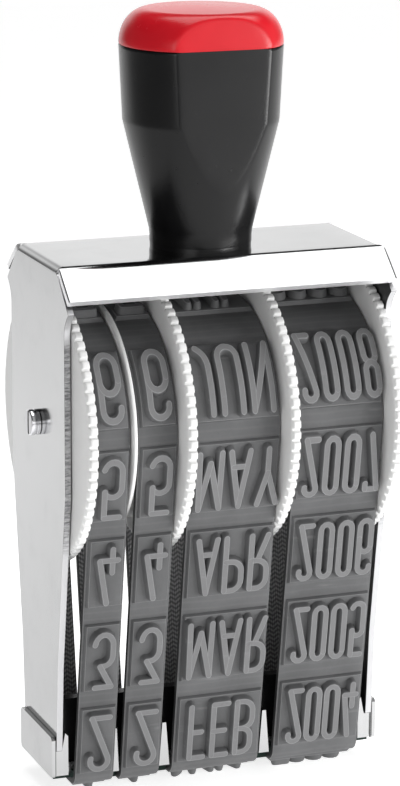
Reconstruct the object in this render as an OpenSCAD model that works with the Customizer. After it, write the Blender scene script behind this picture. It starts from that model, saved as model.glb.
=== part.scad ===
// Hand date stamp: four type bands run over toothed thumb wheels on one axle, inside a folded frame.
// X runs along the axle, the front is -Y, Z is up and the printing faces lie on Z = 0. Millimetres.

/* [Bands] */
// number of type positions round each band
positions = 12; // [12:1:12]
// length of one raised character along the band
type_len = 15; // [12:0.5:17]
// length of one raised pad along the band
pad_len = 16.6; // [13:0.1:18]
// width of each day band
day_w = 9.1; // [8:0.1:12]
// width of the month band and of the year band
word_w = 20.9; // [18:0.1:26]
// thickness of the woven-backed belt
belt_t = 1.5; // [1.2:0.1:2]
// height of a pad above the belt
pad_h = 0.9; // [0.5:0.1:1.5]
// height of the type above its pad
type_h = 1.6; // [1:0.1:2.2]
// margin from the belt's edge to the pad
pad_margin = 0.4; // [0.2:0.1:0.8]
// radius of the belt's inner face at the foot's corners
corner_r = 2; // [1.5:0.1:3]
// half length of the flat part under the foot
flat_half = 9.3; // [8:0.1:11]
// spacing of the type positions up the front; the others share the rest of the loop
pitch = 20.6; // [19:0.1:21]
// extra length of the plain strip above the front's type positions
strip_extra = 4.3; // [0:0.1:6]
// how far the day bands stand rolled up the front from a centred character
day_roll = 0.4; // [0:0.1:20]
// how far the month band stands rolled up the front
month_roll = 0.2; // [0:0.1:20]
// how far the year band stands rolled up the front
year_roll = 1.2; // [0:0.1:20]

/* [Wheels] */
// height of the axle above the printing faces
axle_z = 84.8; // [78:0.1:92]
// radius of the drum under each band
drum_r = 23; // [21:0.5:24]
// wall of the drum
drum_wall = 1.8; // [1.2:0.1:2.5]
// radius at the tips of the thumb teeth
tip_r = 31.3; // [29:0.1:33]
// depth of the thumb teeth
tooth_h = 1; // [0.6:0.1:1.5]
// number of thumb teeth
teeth = 80; // [60:1:96]
// width of a toothed rim along the axle
rim_w = 2; // [1.5:0.1:3]
// radius of the thin dividing flange between the two day bands
flange_r = 26.4; // [26:0.1:29]
// thickness of the dividing flange
flange_t = 0.9; // [0.6:0.1:1.5]
// free edge of the drum beside the second day band
day_edge = 0.3; // [0.2:0.1:1.5]
// free edge of the drum beside the month band
word_edge = 0.5; // [0.2:0.1:1.5]
// free edge of the drum beside the year band
year_edge = 1.1; // [0.2:0.1:1.5]
// radius of a wheel's hub
hub_r = 5; // [4:0.5:8]
// gap between parts that turn past each other
run_gap = 0.3; // [0.2:0.05:0.6]
// radial clearance of each wheel on the axle
bore_gap = 0.05; // [0.03:0.01:0.1]

/* [Axle] */
// radius of the axle
axle_r = 2.5; // [2:0.1:3.5]
// radius of the end screws' shanks
screw_r = 1.4; // [1:0.1:1.8]
// depth of the screw holes in the axle
screw_deep = 8; // [5:0.5:12]
// radius of the end screws' heads
screw_head_r = 3.15; // [2.5:0.05:4]
// height of the end screws' heads
screw_head_h = 2.2; // [1.5:0.1:3]
// width of the screw slot
slot_w = 0.8; // [0.5:0.1:1.2]
// depth of the screw slot
slot_d = 0.9; // [0.5:0.1:1.3]
// outer radius of the spacer washers on the axle
spacer_r = 4.6; // [3.5:0.1:6]
// thickness of a spacer washer
spacer_t = 0.8; // [0.5:0.1:1.2]

/* [Frame] */
// thickness of the sheet
sheet_t = 1.5; // [1:0.1:2]
// height of the top plate's upper face
top_z = 121.9; // [118:0.1:130]
// half depth of the top plate
top_half = 15.4; // [14:0.1:18]
// inner radius of the sheet's bends
bend_r = 0.4; // [0.3:0.1:1.5]
// slope of the front and rear lips below level
lip_angle = 40; // [30:1:50]
// straight length of the front and rear lips
lip_len = 7.8; // [5:0.1:9]
// how far the lips stop short of the side plates' outer faces
lip_gap = 0.2; // [0.1:0.1:1]
// rounding of a lip's upper corners
lip_round = 1.2; // [0.6:0.1:2]
// half depth of the side plate at its flared shoulder
flare_half = 21.4; // [19:0.1:23]
// half depth of the side plate at the axle
waist_half = 19.1; // [17:0.1:21]
// half depth of the side plate's lower end
toe_half = 11.6; // [10:0.1:13]
// height at which the side plates start to narrow
taper_z = 72; // [66:1:80]
// half depth of the side plate where its taper eases
knee_half = 13; // [12:0.1:15]
// height at which the taper eases
knee_z = 31.5; // [20:0.5:45]
// drop from the top plate to the flared shoulder
flare_drop = 8.6; // [6:0.1:12]
// height of the step under the flared shoulder
shoulder_h = 2.2; // [1:0.1:4]

/* [Foot] */
// thickness of the foot's base
base_t = 3; // [2:0.1:4]
// thickness of the liner under the base
liner_t = 1; // [0.6:0.1:1.6]
// depth of the liner's ribs between the bands
rib_d = 1.2; // [0.6:0.1:1.4]
// thickness of the two end ears
ear_t = 1; // [0.7:0.1:2]
// half depth of the two end ears
ear_half = 11.6; // [10:0.1:13]
// height of the ears' upper edge above the base's underside
ear_h = 9.6; // [8:0.1:12]
// height of the seat for the side plates above the base's underside
seat_h = 6.1; // [4.5:0.1:8]
// height of the band guides above the base's underside
guide_h = 10.2; // [8:0.1:12]
// how far the band guides stand out from the base
guide_out = 1.5; // [1:0.1:2]
// height of the rail along the black block's front
block_top = 22.6; // [18:0.1:30]
// height of the black block behind its rail
block_low = 15.5; // [12:0.1:17]
// thickness of the rail
rail_t = 3; // [2:0.1:5]
// gap from the block's ends to the side plates
block_gap = 0.5; // [0.3:0.1:1]
// gap from the block to the band guides
block_side_gap = 0.1; // [0.05:0.05:0.3]
// radius of the two pins that hold the block
pin_r = 1.5; // [1:0.1:2.5]

/* [Handle] */
// height of the collar under the handle
collar_h = 1.4; // [1:0.1:3]
// radius of the handle at its foot
foot_r = 11.4; // [9:0.1:14]
// height of the handle's straight neck above the top plate
neck_h = 3.7; // [2.5:0.1:6]
// largest radius of the handle
grip_r = 18.2; // [16:0.1:22]
// height of the seam under the cap above the top plate
seam_h = 45.4; // [40:0.1:55]
// drop from the seam to the crease above the handle's cone
crease_drop = 16.7; // [10:0.1:24]
// how much smaller the handle's radius is at the crease
crease_in = 0.8; // [0.2:0.1:2]
// height of the cap from the seam to its crown
cap_h = 7.8; // [6:0.1:10]
// rise of the cap's crown
crown_h = 0.4; // [0.2:0.1:2]
// straight height of the cap's wall above the seam
cap_wall = 0.3; // [0.2:0.1:3]
// run of the cap's rounded edge towards the axis
cap_round = 6.2; // [4:0.1:8]
// distance of the two flat facets from the handle's axis at the seam
facet_y = 14.5; // [12:0.1:16]
// distance of the two flat facets from the handle's axis at the top plate
facet_foot = 13.6; // [11:0.1:15]
// wall of the hollow handle
grip_wall = 5.2; // [3:0.1:7]
// radius of the bolt that holds the handle
bolt_r = 2.5; // [2:0.1:3.5]
// length of the cap's plug in the handle
plug_len = 4; // [2:0.5:8]
// clearance of fixed pins, bolts and plugs in their holes
fit_gap = 0.05; // [0.02:0.01:0.1]

/* [Hidden] */
$fn = 96;
eps = 0.01;

// belt path in the Y Z plane, followed from the flat run up the front
face_h = belt_t + pad_h + type_h;
belt_in_z = face_h;
loop_r = drum_r + run_gap;
corner_z = belt_in_z + corner_r;
drop = axle_z - corner_z;
reach = sqrt(drop * drop + flat_half * flat_half);
lean = asin((loop_r - corner_r) / reach) - atan(flat_half / drop);
run_len = sqrt(reach * reach - pow(loop_r - corner_r, 2));
corner_turn = 90 - lean;
drum_turn = 180 + 2 * lean;
corner_len = corner_r * corner_turn * PI / 180;
drum_len = loop_r * drum_turn * PI / 180;
s_flat = -flat_half;
s_corner = flat_half;
s_front = s_corner + corner_len;
s_drum = s_front + run_len;
s_rear = s_drum + drum_len;
s_back = s_rear + run_len;
s_end = s_back + corner_len;
loop_len = s_end - s_flat;
step_len = min(pitch, loop_len / positions);
front_rows = 5;
rest_len = (loop_len - strip_extra - front_rows * step_len) / (positions - front_rows);
bend_skip = 0.1;
y_run = flat_half + corner_r * cos(lean);
z_run = corner_z - corner_r * sin(lean);

// places along the axle, counted from the left plate's inner face
inner_w = 10 * run_gap + 4 * rim_w + 2 * day_w + 2 * word_w
    + flange_t + day_edge + word_edge + year_edge;
plate_in = inner_w / 2;
plate_out = plate_in + sheet_t;
w1_rim = -plate_in + run_gap;
w1_drum = w1_rim + rim_w;
b1 = w1_drum + run_gap;
w1_flange = b1 + day_w + run_gap;
w1_end = w1_flange + flange_t;
w2_drum = w1_end + run_gap;
b2 = w2_drum + day_edge;
w2_rim = b2 + day_w + run_gap;
w2_end = w2_rim + rim_w;
w3_drum = w2_end + run_gap;
b3 = w3_drum + word_edge;
w3_rim = b3 + word_w + run_gap;
w3_end = w3_rim + rim_w;
w4_drum = w3_end + run_gap;
b4 = w4_drum + year_edge;
w4_rim = b4 + word_w + run_gap;
w4_end = w4_rim + rim_w;
hub_cut = spacer_t + run_gap;

// frame
under_z = top_z - sheet_t;
bend_out = bend_r + sheet_t;
side_top = top_z - bend_out;
base_z = belt_in_z + liner_t;
seat_z = base_z + seat_h;
flare_z = top_z - flare_drop;
lip_half = plate_out - lip_gap;

// foot
base_half = flat_half + corner_r - liner_t;
ear_chamfer = 0.7;
block_half = flat_half - block_side_gap;
block_z = base_z + base_t;
guide_1 = (b1 + day_w + b2) / 2;
guide_2 = (b2 + day_w + b3) / 2;
guide_3 = (b3 + word_w + b4) / 2;
pin_x = plate_in * 0.6;
pin_top = block_z + (block_low - block_z) * 0.6;

// handle, in heights above the top plate
shelf_lo = 9;
shelf_hi = 14;
bolt_head_r = bolt_r * 1.7;
bolt_head_h = bolt_r * 1.6;
washer_t = 1;
nut_h = bolt_r * 1.6;
nut_r = bolt_r * 1.85;
plug_r = facet_y - grip_wall;
crown_r = grip_r - cap_round;

// a cylinder along X from x0 to x1, centred on the axle
module rod(x0, x1, r) {
    translate([x0, 0, axle_z]) rotate([0, 90, 0]) cylinder(h = x1 - x0, r = r);
}

// a point on a circle in the Y Z plane
function around(y, z, r, a) = [y + r * cos(a), z + r * sin(a)];

// point of the endless band path at length s, at height h off the belt's inner face
function at(s, h) = let (u = s - floor((s - s_flat) / loop_len) * loop_len)
    u < s_corner ? [-u, belt_in_z - h]
    : u < s_front ? around(-flat_half, corner_z, corner_r + h, 270 - (u - s_corner) / corner_r * 180 / PI)
    : u < s_drum ? around(-y_run, z_run, h, 180 + lean) + (u - s_front) * [-sin(lean), cos(lean)]
    : u < s_rear ? around(0, axle_z, loop_r + h, 180 + lean - (u - s_drum) / loop_r * 180 / PI)
    : u < s_back ? around(y_run, z_run, h, -lean) + (s_back - u) * [sin(lean), cos(lean)]
    : around(flat_half, corner_z, corner_r + h, -lean - (u - s_back) / corner_r * 180 / PI);

// length along the path at which type position k stands
function row_s(k) = k > front_rows ? front_rows * step_len + strip_extra + (k - front_rows) * rest_len
    : k * step_len;

// lengths at which the path bends, over two turns
stops = [for (t = [0, loop_len]) for (c = [[s_corner, corner_len, 5], [s_drum, drum_len, 24],
    [s_back, corner_len, 5]]) for (i = [0 : c[2]]) t + c[0] + c[1] * i / c[2]];

// a layer of a band laid along the path from s0 to s1, between the heights h0 and h1
module lay(s0, s1, h0, h1, x0, x1) {
    turn = s0 < s_flat ? loop_len : 0;
    a = s0 + turn;
    b = s1 + turn;
    way = concat([a], [for (s = stops) if (s > a + bend_skip && s < b - bend_skip) s], [b]);
    n = len(way) - 1;
    translate([x0, 0, 0]) rotate([90, 0, 90]) linear_extrude(height = x1 - x0)
        polygon(concat([for (s = way) at(s, h0)], [for (i = [n : -1 : 0]) at(way[i], h1)]));
}

// the whole loop filled up to a height off the belt's inner face
module loop_fill(h, x0, x1) {
    translate([x0, 0, 0]) rotate([90, 0, 90]) linear_extrude(height = x1 - x0)
        polygon([for (s = stops) if (s < s_end - bend_skip) at(s, h), at(s_flat, h)]);
}

// one endless band with its pads and a plain block for each character; the last places may be blank
module band(x, w, chars, used, roll) {
    cell = (w - 2 * pad_margin) / chars;
    pad_s = roll - pad_len / 2;
    type_s = roll - type_len / 2;
    difference() {
        loop_fill(belt_t, x, x + w);
        loop_fill(0, x - 1, x + w + 1);
    }
    for (k = [0 : positions - 1])
        lay(row_s(k) + pad_s, row_s(k) + pad_s + pad_len, belt_t * 0.6, belt_t + pad_h,
            x + pad_margin, x + w - pad_margin);
    for (k = [0 : used - 1])
        for (c = [0 : chars - 1])
            lay(row_s(k) + type_s, row_s(k) + type_s + type_len, belt_t + pad_h * 0.5, face_h,
                x + pad_margin + cell * (c + 0.12), x + pad_margin + cell * (c + 0.88));
}

// toothed disc from x0 to x1
module rim(x0, x1) {
    root_r = tip_r - tooth_h;
    step = 360 / teeth;
    pts = [for (i = [0 : teeth - 1]) for (p = [[-0.34, 0], [-0.22, 1], [0.22, 1], [0.34, 0]])
        let (a = (i + p[0]) * step, r = p[1] > 0 ? tip_r : root_r) [r * cos(a), r * sin(a)]];
    translate([x0, 0, axle_z]) rotate([0, 90, 0]) linear_extrude(height = x1 - x0) polygon(pts);
}

// a thumb wheel: toothed disc, hollow drum from d0 to d1 and hub, bored for the axle
module wheel(r0, r1, d0, d1, h0, h1) {
    difference() {
        union() {
            rim(r0, r1);
            difference() {
                rod(d0, d1, drum_r);
                rod(d0 - (r0 > d0 ? 1 : 0), d1 + (r0 > d0 ? 0 : 1), drum_r - drum_wall);
            }
            rod(h0, h1, hub_r);
        }
        rod(-plate_in, plate_in, axle_r + bore_gap);
        if (h0 > r0 - eps) rod(r0 - 1, r0 + spacer_t, spacer_r + run_gap);
        if (h1 < r1 + eps) rod(r1 - spacer_t, r1 + 1, spacer_r + run_gap);
    }
}

// a spacer washer on the axle
module spacer(x) {
    color("Silver") difference() {
        rod(x, x + spacer_t, spacer_r);
        rod(x - 1, x + spacer_t + 1, axle_r + fit_gap);
    }
}

// points of an arc about a centre, from angle a0 to a1
function arc(y, z, r, a0, a1, n = 6) =
    [for (i = [0 : n]) let (a = a0 + (a1 - a0) * i / n) [y + r * cos(a), z + r * sin(a)]];

// the folded sheet seen along Y: two side plates joined by the top plate
module sheet_section() {
    polygon(concat([[plate_out, seat_z]],
        arc(plate_in - bend_r, side_top, bend_out, 0, 90),
        arc(bend_r - plate_in, side_top, bend_out, 90, 180),
        [[-plate_out, seat_z], [-plate_in, seat_z]],
        arc(bend_r - plate_in, side_top, bend_r, 180, 90),
        arc(plate_in - bend_r, side_top, bend_r, 90, 0), [[plate_in, seat_z]]));
}

// outline of the sheet seen along X, symmetric front to rear
module plate_outline() {
    half = [[top_half, top_z + 1], [top_half, side_top], [flare_half, flare_z],
        [waist_half, flare_z - shoulder_h], [waist_half, taper_z], [knee_half, knee_z],
        [toe_half, seat_z], [toe_half, seat_z - 1]];
    polygon(concat(half, [for (i = [7 : -1 : 0]) [-half[i][0], half[i][1]]]));
}

// one folded lip along an edge of the top plate; side is -1 for the front
module lip(side) {
    a = 90 - lip_angle;
    mid_z = top_z - bend_out;
    tip = [lip_len * cos(lip_angle), -lip_len * sin(lip_angle)];
    outer = arc(top_half, mid_z, bend_out, 90, a);
    inner = arc(top_half, mid_z, bend_r, a, 90);
    narrow = plate_in - bend_r - 0.5;
    start = top_half + 0.1;
    far = top_half + bend_out + lip_len;
    side_x = lip_half - lip_round;
    right = concat(arc(side_x, start + lip_round, lip_round, -90, 0), [[lip_half, far]]);
    mirror([0, side > 0 ? 0 : 1, 0]) intersection() {
        translate([-lip_half, 0, 0]) rotate([90, 0, 90])
            linear_extrude(height = 2 * lip_half) polygon(concat([[top_half - 2, top_z]], outer,
                [outer[6] + tip, inner[0] + tip], inner, [[top_half - 2, under_z]]));
        translate([0, 0, mid_z - lip_len]) linear_extrude(height = lip_len + bend_out + 1)
            polygon(concat([[narrow, top_half - 3], [narrow, start]], right,
                [for (i = [7 : -1 : 0]) [-right[i][0], right[i][1]]],
                [[-narrow, start], [-narrow, top_half - 3]]));
    }
}

module frame() {
    color("Gainsboro") difference() {
        union() {
            intersection() {
                translate([0, flare_half + 2, 0]) rotate([90, 0, 0])
                    linear_extrude(height = 2 * flare_half + 4) sheet_section();
                translate([-plate_out - 1, 0, 0]) rotate([90, 0, 90])
                    linear_extrude(height = 2 * plate_out + 2) plate_outline();
            }
            lip(-1);
            lip(1);
        }
        translate([0, 0, under_z - 1]) cylinder(h = sheet_t + 2, r = bolt_r + fit_gap);
        rod(-plate_out - 1, plate_out + 1, screw_r + fit_gap);
    }
}

module handle_collar() {
    color("#1a1a1a") translate([0, 0, top_z]) difference() {
        cylinder(h = collar_h, r = foot_r - 0.3);
        translate([0, 0, -1]) cylinder(h = collar_h + 2, r = bolt_r + fit_gap);
    }
}

// keeps what lies between the two flat facets, which lean in a little below the seam
module facets() {
    end = seam_h + cap_h + crown_h + 1;
    intersection() {
        children();
        translate([-grip_r - 1, 0, top_z]) rotate([90, 0, 90]) linear_extrude(height = 2 * grip_r + 2)
            polygon([[-facet_foot, -1], [facet_foot, -1], [facet_foot, 0], [facet_y, seam_h],
                [facet_y, end], [-facet_y, end], [-facet_y, seam_h], [-facet_foot, 0]]);
    }
}

module handle_body() {
    k = seam_h / 46;
    color("#1a1a1a") facets() translate([0, 0, top_z]) difference() {
        rotate_extrude() polygon([[0, collar_h], [foot_r, collar_h], [foot_r, neck_h],
            [grip_r - crease_in, seam_h - crease_drop], [grip_r, seam_h], [0, seam_h]]);
        translate([0, 0, shelf_hi * k]) cylinder(h = seam_h, r = plug_r);
        cylinder(h = seam_h, r = bolt_r + fit_gap);
    }
}

module handle_cap() {
    color("#c8202a") facets() translate([0, 0, top_z + seam_h]) union() {
        rotate_extrude() polygon(concat([[0, 0], [grip_r, 0]],
            [for (a = [0 : 10 : 90])
                [crown_r + cap_round * cos(a), cap_wall + (cap_h - cap_wall) * sin(a)]],
            [for (q = [0.8 : -0.2 : 0.1]) [crown_r * q, cap_h + crown_h * (1 - q * q)]],
            [[crown_r * 0.07, cap_h + crown_h], [0, cap_h + crown_h]]));
        translate([0, 0, -plug_len]) cylinder(h = plug_len + 1, r = plug_r - fit_gap);
    }
}

module handle_bolt() {
    k = seam_h / 46;
    head_z = top_z + shelf_hi * k;
    tip_z = under_z - washer_t - nut_h;
    color("Silver") difference() {
        union() {
            translate([0, 0, head_z]) cylinder(h = bolt_head_h, r = bolt_head_r);
            translate([0, 0, tip_z]) cylinder(h = head_z - tip_z + 0.5, r = bolt_r);
        }
        translate([-bolt_head_r - 1, -slot_w, head_z + bolt_head_h * 0.5])
            cube([2 * bolt_head_r + 2, 2 * slot_w, bolt_head_h]);
    }
}

module handle_washer() {
    color("Silver") translate([0, 0, under_z - washer_t]) difference() {
        cylinder(h = washer_t, r = nut_r + 0.6);
        translate([0, 0, -1]) cylinder(h = washer_t + 2, r = bolt_r + fit_gap);
    }
}

module handle_nut() {
    color("Silver") translate([0, 0, under_z - washer_t - nut_h]) difference() {
        cylinder(h = nut_h, r = nut_r, $fn = 6);
        translate([0, 0, -1]) cylinder(h = nut_h + 2, r = bolt_r + fit_gap);
    }
}

module axle() {
    color("Silver") difference() {
        rod(-plate_in, plate_in, axle_r);
        rod(-plate_in - 1, -plate_in + screw_deep, screw_r + fit_gap);
        rod(plate_in - screw_deep, plate_in + 1, screw_r + fit_gap);
    }
}

// a slotted end screw; side is -1 for the left
module axle_screw(side) {
    color("Silver") translate([0, 0, axle_z]) mirror([side > 0 ? 0 : 1, 0, 0])
        translate([plate_out, 0, 0]) rotate([0, 90, 0]) difference() {
            union() {
                rotate_extrude() polygon([[0, 0], [screw_head_r, 0], [screw_head_r, screw_head_h * 0.55],
                    [screw_head_r * 0.9, screw_head_h * 0.82], [screw_head_r * 0.6, screw_head_h * 0.96],
                    [0, screw_head_h]]);
                translate([0, 0, 1.5 - sheet_t - screw_deep])
                    cylinder(h = sheet_t + screw_deep - 1, r = screw_r);
            }
            translate([-screw_head_r - 1, -slot_w / 2, screw_head_h - slot_d])
                cube([2 * screw_head_r + 2, slot_w, slot_d + 1]);
        }
}

module axle_screw_left() {
    axle_screw(-1);
}

module axle_screw_right() {
    axle_screw(1);
}

module wheel_tens() {
    color("WhiteSmoke") {
        wheel(w1_rim, w1_drum, w1_drum, w1_end, w1_rim, w1_end - hub_cut);
        difference() {
            rod(w1_flange, w1_end, flange_r);
            rod(w1_flange - 1, w1_end + 1, drum_r - drum_wall);
        }
    }
}

module wheel_units() {
    color("WhiteSmoke") wheel(w2_rim, w2_end, w2_drum, w2_rim, w2_drum, w2_end);
}

module wheel_month() {
    color("WhiteSmoke") wheel(w3_rim, w3_end, w3_drum, w3_rim, w3_drum + hub_cut, w3_end);
}

module wheel_year() {
    color("WhiteSmoke") wheel(w4_rim, w4_end, w4_drum, w4_rim, w4_drum + hub_cut, w4_end);
}

module spacer_left() {
    spacer(-plate_in);
}

module spacer_days() {
    spacer(w1_end - spacer_t);
}

module spacer_middle() {
    spacer(w3_drum);
}

module spacer_words() {
    spacer(w4_drum);
}

module spacer_right() {
    spacer(plate_in - spacer_t);
}

module band_tens() {
    color("DimGray") band(b1, day_w, 1, 10, day_roll);
}

module band_units() {
    color("DimGray") band(b2, day_w, 1, 10, day_roll);
}

module band_month() {
    color("DimGray") band(b3, word_w, 3, 12, month_roll);
}

module band_year() {
    color("DimGray") band(b4, word_w, 4, 12, year_roll);
}

// a tapered guide between two bands, on the front and on the rear
module guides(x, foot_w, top_w) {
    for (m = [0, 1]) mirror([0, m, 0]) translate([x, flat_half + 0.2, base_z]) rotate([90, 0, 180])
        linear_extrude(height = base_half + guide_out - flat_half - 0.2) polygon([[-foot_w / 2, 0],
            [foot_w / 2, 0], [top_w / 2, guide_h], [-top_w / 2, guide_h]]);
}

// an end ear with the two notched corners that seat a side plate; side is -1 for the left
module ear(side) {
    c = ear_chamfer;
    mirror([side > 0 ? 0 : 1, 0, 0]) {
        translate([plate_out, 0, base_z]) rotate([90, 0, 90]) linear_extrude(height = ear_t)
            polygon([[c - ear_half, 0], [ear_half - c, 0], [ear_half, c], [ear_half, ear_h - c],
                [ear_half - c, ear_h], [c - ear_half, ear_h], [-ear_half, ear_h - c], [-ear_half, c]]);
        for (m = [0, 1]) mirror([0, m, 0]) translate([0, flat_half + 0.2, base_z])
            rotate([90, 0, 180]) mirror([1, 0, 0])
                linear_extrude(height = ear_half - c - flat_half - 0.2) polygon([[plate_out + 0.4, 0.2],
                    [plate_out + 0.4, seat_h], [plate_in - 0.1, seat_h], [plate_in - 0.9, guide_h],
                    [plate_in - 1.6, guide_h - 0.8], [plate_in - 1.6, 0.2]]);
    }
}

// the base seen along X, with its lower edges rounded to carry the liner
module base_section() {
    r = corner_r - liner_t;
    polygon(concat([[base_half, base_z + base_t], [-base_half, base_z + base_t]],
        arc(-flat_half, base_z + r, r, 180, 270, 4), arc(flat_half, base_z + r, r, 270, 360, 4)));
}

module foot_tray() {
    color("Gainsboro") difference() {
        union() {
            translate([-plate_out - 0.5, 0, 0]) rotate([90, 0, 90])
                linear_extrude(height = 2 * plate_out + 1) base_section();
            guides(guide_1, 1.4, 0.7);
            guides(guide_2, 2.5, 0.9);
            guides(guide_3, 2.5, 0.9);
            ear(-1);
            ear(1);
        }
        for (s = [-1, 1])
            translate([s * pin_x, 0, base_z - 1]) cylinder(h = base_t + 2, r = pin_r + fit_gap);
    }
}

// the liner's rounded edge under one band; side is -1 for the front
module liner_edge(x0, x1, side) {
    mirror([0, side > 0 ? 0 : 1, 0]) translate([x0, flat_half, corner_z]) rotate([0, 90, 0])
        rotate_extrude(angle = 90) translate([corner_r - liner_t, 0]) square([liner_t, x1 - x0]);
}

module platen_liner() {
    color("#1d2b26") {
        translate([-plate_out, -flat_half, belt_in_z]) cube([2 * plate_out, 2 * flat_half, liner_t]);
        for (s = [-1, 1]) {
            liner_edge(b1, b1 + day_w, s);
            liner_edge(b2, b2 + day_w, s);
            liner_edge(b3, b3 + word_w, s);
            liner_edge(b4, b4 + word_w, s);
        }
        for (g = [[b1 + day_w, b2], [b2 + day_w, b3], [b3 + word_w, b4]])
            translate([g[0] + run_gap / 2, -flat_half, belt_in_z - rib_d])
                cube([g[1] - g[0] - run_gap, 2 * flat_half, rib_d + liner_t / 2]);
    }
}

module platen_block() {
    long = 2 * (plate_in - block_gap);
    color("#151515") difference() {
        translate([block_gap - plate_in, 0, 0]) rotate([90, 0, 90]) linear_extrude(height = long)
            polygon([[-block_half, block_z], [block_half, block_z], [block_half, block_low],
                [rail_t - block_half, block_low], [rail_t - block_half, block_top],
                [-block_half, block_top]]);
        for (s = [-1, 1])
            translate([s * pin_x, 0, block_z - 1]) cylinder(h = pin_top - block_z + 1, r = pin_r + fit_gap);
    }
}

// a pin from the base up into the block
module block_pin(x) {
    color("Silver") translate([x, 0, base_z]) cylinder(h = pin_top - base_z, r = pin_r);
}

module block_pin_left() {
    block_pin(-pin_x);
}

module block_pin_right() {
    block_pin(pin_x);
}

frame();
handle_collar();
handle_body();
handle_cap();
handle_bolt();
handle_washer();
handle_nut();
axle();
axle_screw_left();
axle_screw_right();
wheel_tens();
wheel_units();
wheel_month();
wheel_year();
spacer_left();
spacer_days();
spacer_middle();
spacer_words();
spacer_right();
band_tens();
band_units();
band_month();
band_year();
foot_tray();
platen_liner();
platen_block();
block_pin_left();
block_pin_right();
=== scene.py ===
import math

import bmesh
import bpy
import numpy as np
from mathutils import Matrix, Vector


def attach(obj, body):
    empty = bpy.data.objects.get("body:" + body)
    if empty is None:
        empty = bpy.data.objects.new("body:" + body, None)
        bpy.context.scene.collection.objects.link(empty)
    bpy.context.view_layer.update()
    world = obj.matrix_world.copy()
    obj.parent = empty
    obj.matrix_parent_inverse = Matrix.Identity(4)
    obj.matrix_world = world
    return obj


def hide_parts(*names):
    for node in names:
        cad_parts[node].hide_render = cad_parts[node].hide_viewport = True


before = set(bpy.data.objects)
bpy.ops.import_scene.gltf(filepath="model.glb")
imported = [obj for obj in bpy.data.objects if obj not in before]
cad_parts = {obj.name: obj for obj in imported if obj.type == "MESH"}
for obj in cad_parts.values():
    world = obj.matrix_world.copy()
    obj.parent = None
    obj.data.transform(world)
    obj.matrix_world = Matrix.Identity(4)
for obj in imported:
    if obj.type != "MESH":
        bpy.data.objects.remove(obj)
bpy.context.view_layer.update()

mm = 0.001
print("frame loaded:", len(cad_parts), "nodes")


# camera, fitted to the photograph; lengths in millimetres, but the clip range in metres;
# the aim height is the solid's top plate
viewer = dict(azimuth=-20.563, elevation=13.778, roll=0.1996, focalPixels=3180.1, sideShift=0.0795,
              upShift=32.785, distance=708.90, aimHeight=121.9, longSide=786, sensor=36, nearest=0.01, farthest=20)


def placeCamera(v):
    a, e, roll = (math.radians(v[k]) for k in ("azimuth", "elevation", "roll"))
    back = np.array([math.sin(a) * math.cos(e), -math.cos(a) * math.cos(e), math.sin(e)])
    right = np.array([math.cos(a), math.sin(a), 0.0])
    up = np.cross(back, right)
    side = math.cos(roll) * right + math.sin(roll) * up
    top = -math.sin(roll) * right + math.cos(roll) * up
    eye = back * v["distance"] - side * v["sideShift"] - top * v["upShift"] + [0, 0, v["aimHeight"]]
    data = bpy.data.cameras.new("photoCamera")
    data.sensor_width = v["sensor"]
    data.lens = v["focalPixels"] / v["longSide"] * v["sensor"]
    data.clip_start, data.clip_end = v["nearest"], v["farthest"]
    camera = bpy.data.objects.new("photoCamera", data)
    bpy.context.scene.collection.objects.link(camera)
    turn = np.eye(4)
    turn[:3, 0], turn[:3, 1], turn[:3, 2], turn[:3, 3] = side, top, back, eye * mm
    camera.matrix_world = Matrix(turn.tolist())
    bpy.context.scene.camera = camera


placeCamera(viewer)
print("camera placed")


# shader maths: a Wire is one output socket, and operators on it add Math nodes
class Wire:
    def __init__(self, finish, socket):
        self.finish, self.socket = finish, socket

    def calc(self, operation, *others):
        return self.finish.add("ShaderNodeMath", {"operation": operation}, dict(enumerate(others)))

    def __add__(self, other):
        return self.calc("ADD", self, other)

    def __radd__(self, other):
        return self.calc("ADD", other, self)

    def __sub__(self, other):
        return self.calc("SUBTRACT", self, other)

    def __rsub__(self, other):
        return self.calc("SUBTRACT", other, self)

    def __mul__(self, other):
        return self.calc("MULTIPLY", self, other)

    def __rmul__(self, other):
        return self.calc("MULTIPLY", other, self)

    def sine(self):
        return self.calc("SINE", self)

    def size(self):
        return self.calc("ABSOLUTE", self)

    def band(self, low, high):
        return self.finish.add("ShaderNodeMapRange", {"interpolation_type": "SMOOTHSTEP"},
                               {0: self, 1: low, 2: high})


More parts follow.
